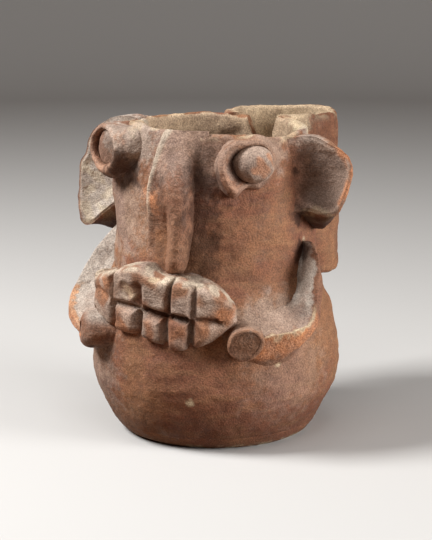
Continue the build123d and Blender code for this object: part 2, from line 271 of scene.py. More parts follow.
def placed(name, data):
    """An object with this data, put into the scene."""
    thing = bpy.data.objects.new(name, data)
    bpy.context.scene.collection.objects.link(thing)
    return thing


# Points this close are one and shorter edges are dropped, in metres, and sharper bends keep an edge
WELD = 1e-6
SLIVER = 1e-7
SHARP_ANGLE = math.radians(60)


def clay_piece(node, grid, material, ring=True, **own_marks):
    """A mesh from a grid of points whose sections are closed, put in place of one CAD node.

    Neighbouring grid points make four-sided faces. The first index wraps round when ring is true.
    """
    rows, columns = grid.shape[:2]
    index = np.arange(rows * columns).reshape(rows, columns)
    right = np.roll(index, -1, axis=0)
    above = np.roll(index, -1, axis=1)
    across = np.roll(right, -1, axis=1)
    faces = np.stack([index, right, across, above], axis=-1)
    faces = (faces if ring else faces[:-1]).reshape(-1, 4)
    flat = grid.reshape(-1, 3)
    a, b, c, d = (flat[faces[:, k]] for k in range(4))
    volume = np.einsum("ij,ij->", np.cross(b - a, c - a), a)
    volume += np.einsum("ij,ij->", np.cross(c - a, d - a), a)
    if volume < 0:
        faces = faces[:, ::-1]
    mesh = bpy.data.meshes.new(node + "_clay")
    mesh.from_pydata((flat * MM).tolist(), [], faces.tolist())
    for name, value in surface_marks(grid, own_marks).items():
        layer = mesh.attributes.new(name, "FLOAT", "POINT")
        layer.data.foreach_set("value", value.reshape(-1).astype(np.float32))
    shell = bmesh.new()
    shell.from_mesh(mesh)
    bmesh.ops.remove_doubles(shell, verts=shell.verts, dist=WELD)
    bmesh.ops.dissolve_degenerate(shell, edges=shell.edges, dist=SLIVER)
    shell.to_mesh(mesh)
    shell.free()
    mesh.polygons.foreach_set("use_smooth", np.ones(len(mesh.polygons), bool))
    mesh.set_sharp_from_angle(angle=SHARP_ANGLE)
    mesh.materials.append(material)
    piece = placed(node + "_clay", mesh)
    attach(piece, "root")
    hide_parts(node)


# Materials


def linear(hex_colour):
    """sRGB hex to linear RGBA."""
    value = np.array([int(hex_colour[i : i + 2], 16) for i in (1, 3, 5)]) / 255
    straight = np.where(value <= 0.04045, value / 12.92, ((value + 0.055) / 1.055) ** 2.4)
    return (*straight.tolist(), 1.0)


def add_node(tree, kind, sockets, **settings):
    """Adds a node with its settings; a socket gets a value, or a link where an output is given."""
    node = tree.nodes.new(kind)
    for name, value in settings.items():
        setattr(node, name, value)
    for name, value in sockets.items():
        if isinstance(value, bpy.types.NodeSocket):
            tree.links.new(value, node.inputs[name])
        else:
            node.inputs[name].default_value = value
    return node


def ranged(tree, value, low, high, least, most, ease="LINEAR"):
    """Maps a value that runs from low to high on to least to most."""
    sockets = {"Value": value, "From Min": low, "From Max": high, "To Min": least, "To Max": most}
    return add_node(tree, "ShaderNodeMapRange", sockets, interpolation_type=ease).outputs["Result"]


def new_material(name):
    """A material with an empty node tree."""
    material = bpy.data.materials.new(name)
    material.use_nodes = True
    material.node_tree.nodes.clear()
    return material


def matt_surface(tree, sockets):
    """Ends a node tree with one shader and the output."""
    shader = add_node(tree, "ShaderNodeBsdfPrincipled", sockets)
    add_node(tree, "ShaderNodeOutputMaterial", {"Surface": shader.outputs["BSDF"]})


# How much finer streaks are upwards than sideways
STREAK_STRETCH = 5.0


def sandy_terracotta(name, body, shade, flush, depth):
    """Low-fired terracotta with coarse sand temper, wiped by hand before it dried.

    The eye sees a dull brown-red skin with fire clouds 45 mm across, mottling of 7 mm, faint level streaks
    of the wiping and sand grains of 0.5 mm, drawn here at 0.9 mm so that they show. Worn places show the
    orange body, chips are cream and sheltered faces hold grey dust. The dark tint is mostly painted shade: in
    the cuts, hollows and undersides, as painted shadow beside raised parts and darker towards the floor. It
    also marks cracks, a fire mark and the right hand's darker face. The grey and pale tints also paint a
    highlight along the nose's raised edge.
    """
    material = new_material(name)
    tree = material.node_tree
    place = add_node(tree, "ShaderNodeTexCoord", {}).outputs["Object"]
    stretch = {"Vector": place, "Scale": (1.0, 1.0, STREAK_STRETCH)}
    level = add_node(tree, "ShaderNodeMapping", stretch).outputs["Vector"]
    grain = {}
    for kind, size_mm, detail, where in (
        ("fire", 45, 2.0, place),
        ("mottle", 7, 3.0, place),
        ("streak", 18, 4.0, level),
        ("sand", 0.9, 1.0, place),
    ):
        sockets = {"Vector": where, "Scale": 1 / (size_mm * MM), "Detail": detail, "Roughness": 0.55}
        grain[kind] = add_node(tree, "ShaderNodeTexNoise", sockets).outputs["Fac"]
    patchy = ranged(tree, grain["mottle"], 0.35, 0.65, 0.8, 1.05)
    cover = {}
    for kind, low, high, most in (("fire", 0.4, 0.62, 1.0), ("streak", 0.42, 0.7, 0.35)):
        cover[kind] = ranged(tree, grain[kind], low, high, 0.0, most, "SMOOTHSTEP")
    for kind in ("worn", "grey", "pale", "dark"):
        mark = add_node(tree, "ShaderNodeAttribute", {}, attribute_name=kind).outputs["Fac"]
        broken = add_node(tree, "ShaderNodeMath", {0: mark, 1: patchy}, operation="MULTIPLY", use_clamp=True)
        cover[kind] = broken.outputs[0]
    colour = linear(body)
    for kind, tint in (
        ("fire", shade),
        ("streak", flush),
        ("worn", "#C0835C"),
        ("grey", "#B6AB9F"),
        ("pale", "#D0BE9E"),
        # dark: mostly painted shade and painted shadow, also cracks, a fire mark and the hand's darker face
        ("dark", "#351D13"),
    ):
        sockets = {0: cover[kind], 6: colour, 7: linear(tint)}
        colour = add_node(tree, "ShaderNodeMix", sockets, data_type="RGBA").outputs[2]
    for kind, least, most in (("mottle", 0.4, 0.6), ("sand", 0.34, 0.66)):
        sockets = {0: 1.0, 6: colour, 7: ranged(tree, grain[kind], 0.3, 0.7, least, most)}
        colour = add_node(tree, "ShaderNodeMix", sockets, data_type="RGBA", blend_type="OVERLAY").outputs[2]
    rough = ranged(tree, grain["mottle"], 0.3, 0.7, 0.62, 0.85)
    sockets = {"Base Color": colour, "Roughness": rough, "IOR": 1.45, "Specular IOR Level": 0.35}
    for kind, deep in (("mottle", 0.42), ("streak", 0.22), ("sand", 0.32)):
        bump = {"Height": grain[kind], "Distance": deep * MM * depth}
        if "Normal" in sockets:
            bump["Normal"] = sockets["Normal"]
        sockets["Normal"] = add_node(tree, "ShaderNodeBump", bump).outputs["Normal"]
    matt_surface(tree, sockets)
    return material


WIPED_CLAY = sandy_terracotta("hand_wiped_sandy_terracotta", "#8E6448", "#7D513D", "#9B7554", depth=1.0)
PRESSED_CLAY = sandy_terracotta(
    "finger_pressed_sandy_terracotta", "#916950", "#805844", "#9D7960", depth=1.3
)


# Jar

# Points round the turned pieces, up their walls and over their lips
BASE_AROUND = 360
BASE_ACROSS = 30
BASE_UP = 26
BELLY_AROUND = 460
BELLY_UP = 130
NECK_AROUND = 540
NECK_UP = 110
TUBE_AROUND = 300
TUBE_UP = 80
TUBE_FLOOR_AROUND = 200
LIP_STEPS = 12
EDGE_STEPS = 6

# Rounded lower edge of the base, inwards and upwards, and heights of the rounded lips
EDGE_ROUND = 3.0
EDGE_RISE = 2.0
NECK_LIP = 2.6
TUBE_LIP = 2.4

# Clay smeared out where the tube meets the neck: how far, and how it fades along the wall and at the foot
TUBE_SMEAR = 4.0
SMEAR_FALL = 9.0
SMEAR_FREE = 16.0

# Fire mark on the tube, from its axis
FIRE_MARK = (30.0, -10.0, 168.0)


def base_slab():
    """A turned slab: radius follows the jar up to its top, and both faces run in to the axis."""
    azimuth = np.linspace(-180, 180, BASE_AROUND, endpoint=False)[:, None]
    bend = np.linspace(0, math.pi / 2, EDGE_STEPS)
    side = np.linspace(EDGE_RISE, BASE_THICKNESS, BASE_UP)
    sole = FOOT_RADIUS - EDGE_ROUND
    radius = np.concatenate([
        np.linspace(0.0, sole, BASE_ACROSS),
        sole + EDGE_ROUND * np.sin(bend),
        jar_radius(side),
        np.linspace(jar_radius(BASE_THICKNESS) - 1, 0.0, BASE_ACROSS),
    ])
    z = np.concatenate([
        np.zeros(BASE_ACROSS),
        EDGE_RISE * (1 - np.cos(bend)),
        side,
        np.full(BASE_ACROSS, BASE_THICKNESS),
    ])
    dent = pressed_in(azimuth, z[None, :]) * (radius > FOOT_RADIUS - 5)
    grid = hand_swells(round_jar(azimuth, radius[None, :] - dent, z[None, :]))
    edge = blend(4.0, 1.0, grid[..., 2]) * (np.hypot(grid[..., 0], grid[..., 1]) > sole)
    chips = edge * blend(0.4, 1.2, waves(grid, 17, 5) + 0.5 * waves(grid, 5, 6))
    # Painted shade: the clay grows darker towards the floor.
    painted_low_shade = 0.4 * blend(12, 0, grid[..., 2])
    clay_piece("base_slab", grid, WIPED_CLAY, pale=chips, dark=painted_low_shade)


def belly_wall():
    """A turned wall: the jar's radius outside, one wall thickness less inside, closed at both ends."""
    azimuth = np.linspace(-180, 180, BELLY_AROUND, endpoint=False)
    rise = np.linspace(BASE_THICKNESS, SHOULDER_HEIGHT, BELLY_UP)
    fall = rise[::-3]
    radius = np.concatenate([jar_radius(rise), jar_radius(fall) - WALL])
    z = np.concatenate([rise, fall])
    dent = pressed_in(azimuth[:, None], z[None, :])
    grid = hand_swells(round_jar(azimuth[:, None], radius[None, :] - dent, z[None, :]))
    inside = np.concatenate([np.zeros(len(rise)), np.ones(len(fall))])
    # Painted shade: the outside grows darker towards the floor.
    painted_low_shade = 0.4 * blend(34, 6, grid[..., 2]) * (1 - inside)
    clay_piece("belly_wall", grid, WIPED_CLAY, dark=painted_low_shade)


def neck_top(azimuth):
    """The uneven rim line, cut down by the tapering notch at the back."""
    line = follow(RIM_LINE, azimuth)
    turned = (azimuth - NOTCH_AZIMUTH + 180) % 360 - 180
    aside = np.abs(np.radians(turned)) * (RIM_RADIUS - WALL / 2)
    taper = (NOTCH_TOP_WIDTH - NOTCH_FOOT_WIDTH) / 2
    depth = NOTCH_DEPTH * np.clip((NOTCH_TOP_WIDTH / 2 - aside) / taper, 0, 1)
    return line - depth * blend(-1.0, 4.0, depth)


def neck_wall():
    """A turned wall whose top follows neck_top, with a rounded lip thinner than the wall."""
    azimuth = np.linspace(-180, 180, NECK_AROUND, endpoint=False)[:, None]
    top = neck_top(azimuth)
    lip_foot = top - NECK_LIP
    rise = np.linspace(0, 1, NECK_UP)[None, :]
    outer_z = SHOULDER_HEIGHT + rise * (lip_foot - SHOULDER_HEIGHT)
    beside = (azimuth - CHEEK_AZIMUTH) / CHEEK_SPREAD
    above = (outer_z - CHEEK_HEIGHT) / CHEEK_RISE
    cheek = CHEEK_SWELL * np.exp(-(beside**2) - above**2)
    outer = round_jar(azimuth, jar_radius(outer_z) + cheek, outer_z)
    over = np.linspace(0, math.pi, LIP_STEPS)[None, 1:-1]
    half = WALL / 2
    middle = jar_radius(lip_foot) - half
    lip_rows = round_jar(azimuth, middle + half * np.cos(over), lip_foot + NECK_LIP * np.sin(over))
    inner_z = outer_z[:, ::-2]
    inner = round_jar(azimuth, jar_radius(inner_z) - WALL, inner_z)
    grid = hand_swells(np.concatenate([outer, lip_rows, inner], axis=1))
    near_lip = blend(5.0, 0.5, top - grid[..., 2])
    rubbed = near_lip * blend(-0.4, 0.6, waves(grid, 12, 15))
    inside = np.hypot(grid[..., 0], grid[..., 1]) < jar_radius(grid[..., 2]) - WALL + 1.2
    pale = np.maximum(0.5 * rubbed, 0.4 * inside)
    clay_piece("neck_wall", grid, WIPED_CLAY, pale=pale, grey=0.15 * inside)


def tube_points(angle, radius, z):
    """Points round the rear tube's own axis: angle 0 looks back at the jar."""
    axis = round_jar(TUBE_AZIMUTH, TUBE_REACH, 0.0)
    heading = np.radians(TUBE_AZIMUTH) + math.pi + angle
    x = axis[0] + radius * np.sin(heading)
    y = axis[1] - radius * np.cos(heading)
    return np.stack(np.broadcast_arrays(x, y, z), axis=-1)


def tube_meets(radius, z):
    """Angle at which a circle round the tube's axis runs into the jar's wall."""
    reach = jar_radius(z) - SINK
    share = (TUBE_REACH**2 + radius**2 - reach**2) / (2 * TUBE_REACH * radius)
    return np.arccos(np.clip(share, -1, 1))


def tube_wall():
    """An open ring carried round the tube's axis from the neck and back to it, with a rounded lip.

    Its radius grows a little downwards, and clay is smeared out where its outside meets the neck.
    """
    share = np.linspace(0, 1, TUBE_AROUND)[:, None]
    foot = TUBE_BOTTOM + TUBE_FLOOR
    half = TUBE_WALL / 2
    turn = 2 * math.pi * share
    top = TUBE_TOP + 0.5 * np.sin(turn * 2 + 1.0) + 0.4 * np.sin(turn * 3)
    lip_foot = top - TUBE_LIP
    over = np.linspace(0, math.pi, LIP_STEPS)[None, 1:-1]
    rise = foot + np.linspace(0, 1, TUBE_UP)[None, :] * (lip_foot - foot)
    fall = rise[:, ::-2]
    z = np.concatenate([rise, lip_foot + TUBE_LIP * np.sin(over), fall], axis=1)
    inset = np.concatenate([0 * rise, half - half * np.cos(over) + 0 * top, TUBE_WALL + 0 * fall], axis=1)
    widen = (RIM_HEIGHT - z) / (RIM_HEIGHT - TUBE_BOTTOM) * (TUBE_FOOT_RADIUS - TUBE_RADIUS)
    radius = TUBE_RADIUS + widen - inset
    meets = tube_meets(radius, z)
    angle = meets + share * (2 * math.pi - 2 * meets)
    at_ends = np.exp(-((share * SMEAR_FALL) ** 2)) + np.exp(-(((1 - share) * SMEAR_FALL) ** 2))
    smear = TUBE_SMEAR * at_ends * (inset < half) * blend(foot, foot + SMEAR_FREE, z)
    grid = capped(hand_swells(tube_points(angle, radius + smear, z)))
    inside = np.pad(1.0 * (inset > half), ((1, 1), (0, 0)), mode="edge")
    near_lip = blend(5.0, 0.5, RIM_HEIGHT + 1.3 - grid[..., 2])
    off_ends = np.pad(blend(0.03, 0.12, np.minimum(share, 1 - share)), ((1, 1), (0, 0)), mode="edge")
    rubbed = 0.5 * near_lip * off_ends * blend(-0.3, 0.6, waves(grid, 12, 25))
    fire = round_jar(TUBE_AZIMUTH, TUBE_REACH, 0.0) + np.array(FIRE_MARK)
    from_fire = np.linalg.norm(grid - fire, axis=-1) + 4 * waves(grid, 10, 26)
    fired = 0.9 * blend(30, 6, from_fire) * (1 - inside)
    pale = np.maximum(rubbed, 0.6 * inside)
    clay_piece("tube_wall", grid, WIPED_CLAY, ring=False, pale=pale, worn=0.3 * fired, dark=0.65 * fired)


def tube_floor():
    """A disc round the tube's axis with a rounded lower edge, cut off where it meets the jar."""
    angle = np.linspace(0, 2 * math.pi, TUBE_FLOOR_AROUND, endpoint=False)[:, None]
    bend = np.linspace(0, math.pi / 2, 10)
    soft = 2.5
    flat = np.linspace(0, TUBE_FOOT_RADIUS - soft, 20, endpoint=False)
    side = np.linspace(soft + 0.2, TUBE_FLOOR, 8)
    inwards = np.linspace(TUBE_FOOT_RADIUS, 0, 24)
    edge = TUBE_FOOT_RADIUS - soft + soft * np.sin(bend)
    radius = np.concatenate([flat, edge, 0 * side + TUBE_FOOT_RADIUS, inwards])
    rise = np.concatenate([0 * flat, soft * (1 - np.cos(bend)), side, 0 * inwards + TUBE_FLOOR])
    grid = seated(hand_swells(tube_points(angle, radius[None, :], TUBE_BOTTOM + rise[None, :])))
    clay_piece("tube_floor", grid, WIPED_CLAY)


# Face

# Nose, by height: azimuths of left edge and ridge, rise of the ridge, half its width, rise of the left edge
NOSE_LEFT = (
    (98, -9), (104, -12), (118, -14), (130, -15.5), (139, -16), (150, -14.6), (160, -11.5), (171, -8),
    (181, -3),
)
NOSE_RIDGE = ((98, 6), (104, 7.5), (118, 9.5), (139, 10), (160, 9), (172, 8), (181, 7))
NOSE_RISE = (
    (98, -3), (101, 0), (104, 6), (108, 10), (114, 12), (122, 12.6), (140, 12.8), (155, 11), (166, 7),
    (175, 3.2), (181, 1.2),
)
NOSE_WIDTH = ((98, 3.5), (104, 5), (112, 6), (140, 6.8), (165, 8), (181, 9))
NOSE_EDGE = ((98, 0.6), (115, 1.6), (130, 2.2), (138, 3.4), (150, 4.4), (165, 4.4), (175, 3.0), (181, 1.4))
NOSE_FOOT = 99.0
NOSE_TOP = 180.0
NOSE_UP = 240
NOSE_ACROSS = 130


def nose_bar():
    """A bar pressed on: for each height a round back, and on its left a web that ends in a raised edge.

    The back falls softly to the web on its left and steeply to the neck on its right. Higher up web and
    back are one wedge that climbs from the raised edge to the ridge, and near the rim it fades to a low bell.
    """
    z = np.linspace(NOSE_FOOT, NOSE_TOP, NOSE_UP)[:, None]
    left = follow(NOSE_LEFT, z)
    ridge = follow(NOSE_RIDGE, z)
    width = follow(NOSE_WIDTH, z)
    wall = jar_radius(z)
    per_degree = np.radians(wall)
    right = ridge + (1.6 * width + 1.0) / per_degree
    azimuth = left + np.linspace(0, 1, NOSE_ACROSS)[None, :] * (right - left)
    aside = (azimuth - ridge) * per_degree / width
    soft_side = (1 - np.clip(-aside / 1.4, 0, 1) ** 1.7) ** 1.05
    steep_side = (1 - np.clip(aside, 0, 1) ** 2.4) ** 0.6
    bell = 0.5 + 0.5 * np.cos(math.pi * np.clip(aside / 1.6, -1, 1))
    fading = blend(148, 172, z)
    rise = follow(NOSE_RISE, z)
    bar = rise * (np.where(aside < 0, soft_side, steep_side) * (1 - fading) + bell * fading)
    in_web = (azimuth - left) * per_degree
    raised = follow(NOSE_EDGE, z)
    flat = raised * (1 - 0.8 * blend(3.0, 8.0, in_web))
    wedge = raised + (rise - raised) * np.clip(in_web / ((ridge - left) * per_degree), 0, 1) ** 1.2
    wedged = 0.85 * blend(124, 144, z)
    web = (flat * (1 - wedged) + wedge * wedged) * np.sin(np.clip(in_web / 4.4, 0, 1) * math.pi / 2)
    web *= blend(0.6, -0.4, aside)
    soft = 1.1
    lift = soft * np.log(np.exp(bar / soft) + np.exp(web / soft) - 1) - 0.4
    front = round_jar(azimuth, wall + lift, z)
    back = round_jar(azimuth[:, ::-6], wall - SINK, z)
    grid = capped(hand_swells(np.concatenate([front, back], axis=1)))
    off_wall = np.hypot(grid[..., 0], grid[..., 1]) - jar_radius(grid[..., 2])
    dusty = 0.3 * blend(150, 178, grid[..., 2])
    from_edge = azimuth_of(grid) - follow(NOSE_LEFT, grid[..., 2])
    # The grey and pale of edge, along the raised left edge of the web, are a painted highlight.
    near_edge = blend(7.0, 3.0, np.abs(from_edge - 1)) * blend(128, 140, grid[..., 2])
    edge = 0.7 * near_edge * blend(0.2, 1.6, off_wall)
    grey = np.maximum(dusty, edge)
    clay_piece("nose_bar", grid, PRESSED_CLAY, ring=False, grey=grey, pale=0.35 * edge)


# Upper and lower line of the mouth by azimuth, radius of its upright face and rounding of its edges
MOUTH_TOP = (
    (-44, 86), (-43.4, 93), (-40, 97.5), (-32, 100.3), (-22, 104), (-13, 106.5), (-5, 107),
    (-1.6, 104.8), (1.8, 102.4), (8.3, 102.2), (16.4, 102.5), (22.3, 100.7), (28.2, 98.2), (33, 94.5),
    (36.8, 89.4), (38.6, 84.6), (39, 81.0),
)
MOUTH_BOTTOM = (
    (-44, 86), (-43.4, 79), (-40, 74.5), (-33, 69.5), (-24.5, 66.2), (-17.8, 65.6), (-12, 66),
    (-4.3, 65.2), (2, 63.4), (8.1, 61.2), (16.3, 62), (23.3, 64.3), (28.2, 66.8), (33, 71.2),
    (36.6, 75.4), (38.6, 78.6), (39, 81.0),
)
MOUTH_FACE = 74.8
MOUTH_ROUND = 6.0
MOUTH_ALONG = 330
MOUTH_UP = 190

# Thumb print in the mouth: azimuth and height, depth, and height of the clay pushed up round it
THUMB_PRINT = (-12.2, 92.5)
THUMB_DEPTH = 0.7
THUMB_RIM = 0.35

# Cuts pressed into the mouth: azimuth and height of both ends, half width above and below the line, depth
TOOTH_CUTS = (
    (-22.2, 101.0, -23.0, 85.5, 1.6, 1.6, 5.0),
    (-23.3, 83.5, -25.5, 67.0, 2.3, 2.3, 6.0),
    (-6.2, 95.0, -6.8, 82.5, 2.6, 2.6, 3.4),
    (8.8, 100.0, 8.2, 82.6, 1.6, 1.6, 5.4),
    (19.9, 97.0, 19.2, 82.0, 2.5, 2.5, 4.2),
    (-7.5, 80.0, -9.6, 64.0, 2.9, 2.9, 5.8),
    (6.1, 78.5, 5.3, 60.0, 2.9, 2.9, 5.2),
    (18.4, 79.5, 17.8, 59.0, 2.5, 2.5, 5.4),
    (-20.5, 85.4, -7.0, 83.4, 1.1, 3.6, 3.4),
    (-4.5, 83.4, 6.0, 81.6, 2.1, 3.6, 6.5),
    (9.5, 81.4, 16.0, 80.6, 1.7, 2.8, 6.5),
    (20.5, 81.1, 29.1, 79.5, 1.1, 2.6, 3.8),
    (-38.0, 88.5, -26.0, 86.5, 2.4, 4.0, 1.3),
)


def mouth_cut(azimuth, z, cut):
    """Depth of one cut: full along its line, falling away over its half widths."""
    start_az, start_z, end_az, end_z, above, below, depth = cut
    per_degree = math.radians(MOUTH_FACE)
    x = (azimuth - start_az) * per_degree
    y = z - start_z
    run_x = (end_az - start_az) * per_degree
    run_y = end_z - start_z
    share = np.clip((x * run_x + y * run_y) / (run_x**2 + run_y**2), 0, 1)
    over = y - share * run_y
    far = np.hypot(x - share * run_x, over) / np.where(over > 0, above, below)
    return depth * np.exp(-(far**2))


def mouth_slab():
    """A slab pressed on the jar: between its lower and upper line it fills out to an upright round face.

    Its edges are rounded off by the distance inwards from its outline. The cuts between the teeth and the
    lips are taken off its height, and a thumb print is pressed in.
    """
    spread = np.linspace(0, math.pi, MOUTH_ALONG)
    first, last = MOUTH_TOP[0][0], MOUTH_TOP[-1][0]
    azimuth = (first + (last - first) * (0.5 * (1 - np.cos(spread)) / 2 + 0.5 * spread / math.pi))[:, None]
    low = follow(MOUTH_BOTTOM, azimuth)
    high = follow(MOUTH_TOP, azimuth)
    z = low + (1 - np.cos(np.linspace(0, math.pi, MOUTH_UP)[None, :])) / 2 * (high - low)
    per_degree = math.radians(MOUTH_FACE)
    from_ends = np.minimum(azimuth - first, last - azimuth) * per_degree
    inwards = np.minimum(np.minimum(z - low, high - z), from_ends)
    swell = np.sqrt(np.clip(1 - (1 - np.minimum(inwards / MOUTH_ROUND, 1)) ** 2.4, 0, 1))
    cut_depth = np.stack([mouth_cut(azimuth, z, cut) for cut in TOOTH_CUTS]).max(axis=0)
    thumb = np.hypot((azimuth - THUMB_PRINT[0]) * per_degree, z - THUMB_PRINT[1])
    print_depth = THUMB_DEPTH * blend(5.5, 2.5, thumb) - THUMB_RIM * blend(2.0, 0.0, np.abs(thumb - 6))
    proud = MOUTH_FACE - jar_radius(z)
    lift = (proud + SINK) * swell - SINK - cut_depth - print_depth
    front = round_jar(azimuth, jar_radius(z) + np.maximum(lift, -SINK), z)
    back = round_jar(azimuth, jar_radius(z[:, ::-6]) - SINK - 1, z[:, ::-6])
    grid = capped(hand_swells(np.concatenate([front, back], axis=1)))
    flank = ((1, 1), (0, back.shape[1]))
    # dirt is painted shade in the cuts, darker where they are deeper.
    dirt = 0.45 * np.pad(blend(2.2, 5.5, cut_depth), flank)
    top_edge = np.pad(blend(6.0, 2.0, high - z) * blend(0.1, 0.4, swell), flank)
    dusty = top_edge * blend(-1.4, 0.2, waves(grid, 9, 35))
    veil = 0.5 * blend(-1.0, 0.8, waves(grid, 14, 36))
    grey = np.maximum(0.75 * dusty, veil)
    clay_piece("mouth_slab", grid, PRESSED_CLAY, ring=False, dark=dirt, grey=grey, pale=0.35 * dusty)


# Eyes: azimuth and height of the seat on the neck, and the azimuth that the ring's axis looks along
RIGHT_EYE = (46.5, 164.0, 38.0)
LEFT_EYE = (-53.0, 167.0, -24.0)

# Lines round each ring by angle, 0 at the viewer's right and 90 up. Outer and inner are radii at the crest.
# Heel and sole, flare and foot are radius and height of the lower end of the inner and of the outer wall.
RIGHT_RING = {
    "outer": (
        (0, 17.4), (45, 14.2), (90, 11.4), (135, 14.2), (180, 16.0), (225, 17.4), (243, 20.0),
        (250, 20.4), (258, 16.6), (300, 16.4), (360, 17.4),
    ),
    "inner": (
        (0, 12.5), (45, 10.4), (90, 8.6), (135, 10.4), (180, 12.0), (225, 12.6), (250, 12.4),
        (262, 11.5), (300, 11.0), (360, 12.5),
    ),
    "crest": (
        (0, 0.5), (45, 2.0), (90, 4.6), (135, 9.0), (180, 11.5), (225, 12.0), (248, 10.5), (258, 7.0),
        (300, 5.5), (330, 2.6), (360, 0.5),
    ),
    "heel": ((0, 11.0), (90, 7.5), (180, 7.0), (270, 8.0), (360, 11.0)),
    "flare": (
        (0, 22), (45, 17), (90, 12.6), (135, 15), (180, 16.8), (248, 20.6), (262, 17.5), (300, 19),
        (360, 22),
    ),
    "foot": ((0, -8), (90, -4), (180, -6), (270, -5), (360, -8)),
    "sole": ((0, -12), (90, 1), (180, 2), (270, 0), (360, -12)),
    "worn": ((0, 0.1), (180, 0.2), (230, 0.6), (256, 0.2), (360, 0.1)),
}
LEFT_RING = {
    "outer": (
        (0, 16.3), (45, 14.6), (90, 12.8), (135, 15.0), (180, 16.2), (225, 15.0), (255, 16.6),
        (275, 18.2), (300, 17.4), (330, 16.4), (360, 16.3),
    ),
    "inner": (
        (0, 14.0), (45, 11.6), (90, 9.0), (135, 11.2), (180, 13.2), (225, 11.4), (250, 10.4),
        (272, 8.6), (300, 9.2), (330, 12.4), (360, 14.0),
    ),
    "crest": (
        (0, 18.0), (45, 16.5), (90, 13.5), (135, 13.0), (180, 13.5), (225, 14.5), (255, 15.0),
        (280, 16.0), (310, 18.0), (360, 18.0),
    ),
    "heel": ((0, 10.5), (180, 10.0), (360, 10.5)),
    "flare": (
        (0, 27), (25, 27), (45, 18.4), (65, 14.3), (90, 13.5), (135, 15.6), (180, 17), (225, 16),
        (255, 16.6), (280, 17.6), (310, 17), (335, 20), (360, 27),
    ),
    "foot": (
        (0, 5.5), (25, 5.5), (45, 4.5), (65, 2), (90, -1), (135, -8), (180, -14), (225, -12), (255, -5),
        (280, 0), (310, 2), (335, 4.5), (360, 5.5),
    ),
    "sole": ((0, -20), (360, -20)),
    "worn": ((0, 0.1), (180, 0.25), (262, 0.5), (300, 0.4), (360, 0.1)),
}

# Lumps in the rings. A facet is the azimuth and elevation that it faces and its distance from the seat.
RIGHT_PELLET = {
    "eye": (48.5, 162.4, 66.0), "size": 10.0, "dome": 12.0, "proud": 16.0, "dust": 0.5,
    "facets": ((46, -8, 13.2), (98, 20, 13.2)),
}
LEFT_PELLET = {"eye": LEFT_EYE, "size": 10.2, "dome": 1.8, "proud": 12.5, "dust": 0.15, "facets": ()}
PELLET_ROOT = 18.0

# How softly a facet runs into the dome
FACET_SOFT = 0.9

# Points round the rings and along each run of their section, rounding passes, and points of the pellets
RING_AROUND = 260
STRIP_RUNS = (26, 7, 5, 7, 26, 8)
STRIP_EASE = 5
PELLET_AROUND = 140
PELLET_UP = 24
PELLET_OVER = 40


def level_axis(turn):
    """The level direction along this azimuth, and the level direction to the viewer's right of it."""
    heading = math.radians(turn)
    axis = np.array([math.sin(heading), -math.cos(heading), 0.0])
    sideways = np.array([math.cos(heading), math.sin(heading), 0.0])
    return axis, sideways


def eye_points(eye, angle, radius, height):
    """Points round an eye's axis: angle 0 points to the viewer's right, 90 up, height is along the axis."""
    azimuth, z, turn = eye
    axis, sideways = level_axis(turn)
    turned = np.radians(angle)
    spread = (radius * np.cos(turned))[..., None] * sideways
    spread[..., 2] += radius * np.sin(turned)
    return round_jar(azimuth, jar_radius(z), z) + spread + height[..., None] * axis


def eye_ring(node, eye, ring):
    """A bent strip: round the eye's axis an outer wall, a round crest and an inner wall, all uneven."""
    angle = np.linspace(0, 360, RING_AROUND, endpoint=False)
    line = {name: follow(knots, angle) for name, knots in ring.items()}
    bevel = 0.42 * (line["outer"] - line["inner"])
    corners = [
        np.stack(pair, axis=-1)
        for pair in (
            (line["flare"], line["foot"]),
            (line["outer"], line["crest"] - bevel),
            (line["outer"] - bevel, line["crest"]),
            (line["inner"] + 0.7 * bevel, line["crest"]),
            (line["inner"], line["crest"] - bevel),
            (line["heel"], line["sole"]),
        )
    ]
    loop = eased(along(corners, STRIP_RUNS), STRIP_EASE)
    around = np.broadcast_to(angle[:, None], loop.shape[:2])
    grid = seated(hand_swells(eye_points(eye, around, loop[..., 0], loop[..., 1])))
    on_crest = blend(-3.0, -0.5, loop[..., 1] - line["crest"][:, None])
    worn = on_crest * line["worn"][:, None]
    within = np.arange(loop.shape[1])[None, :] > sum(STRIP_RUNS[:4])
    # dirt is painted shade on the inner wall, growing darker below the crest.
    dirt = 0.75 * within * blend(-1.5, -6.0, loop[..., 1] - line["crest"][:, None])
    clay_piece(node, grid, PRESSED_CLAY, worn=worn, grey=0.25 * on_crest, dark=dirt)


def eye_pellet(node, eye, size, dome, proud, dust, facets):
    """A lump turned round its own axis: a stub with a domed end, flattened by each facet that cuts it."""
    angle = np.linspace(0, 360, PELLET_AROUND, endpoint=False)[:, None]
    bend = np.linspace(0, math.pi / 2, PELLET_OVER)
    radius = np.concatenate([np.full(PELLET_UP, size), size * np.cos(bend)])[None, :]
    side = np.linspace(-PELLET_ROOT, proud - dome, PELLET_UP)
    height = np.concatenate([side, proud - dome + dome * np.sin(bend)])[None, :]
    grid = eye_points(eye, *np.broadcast_arrays(angle, radius, height))
    seat = round_jar(eye[0], jar_radius(eye[1]), eye[1])
    worn = np.zeros(grid.shape[:2])
    for azimuth, elevation, far in facets:
        tilt = math.radians(elevation)
        facing = round_jar(azimuth, math.cos(tilt), math.sin(tilt))
        over = (grid - seat) @ facing - far
        taken = (over + np.hypot(over, FACET_SOFT)) / 2
        grid = grid - 0.9 * taken[..., None] * facing
        worn = np.maximum(worn, 0.65 * blend(0.0, 1.6, over + 0.5 * waves(grid, 6, 47)))
    grid = capped(seated(hand_swells(grid)).swapaxes(0, 1)).swapaxes(0, 1)
    worn = np.pad(worn, ((0, 0), (1, 1)))
    clay_piece(node, grid, PRESSED_CLAY, worn=worn, grey=dust * (1 - worn))


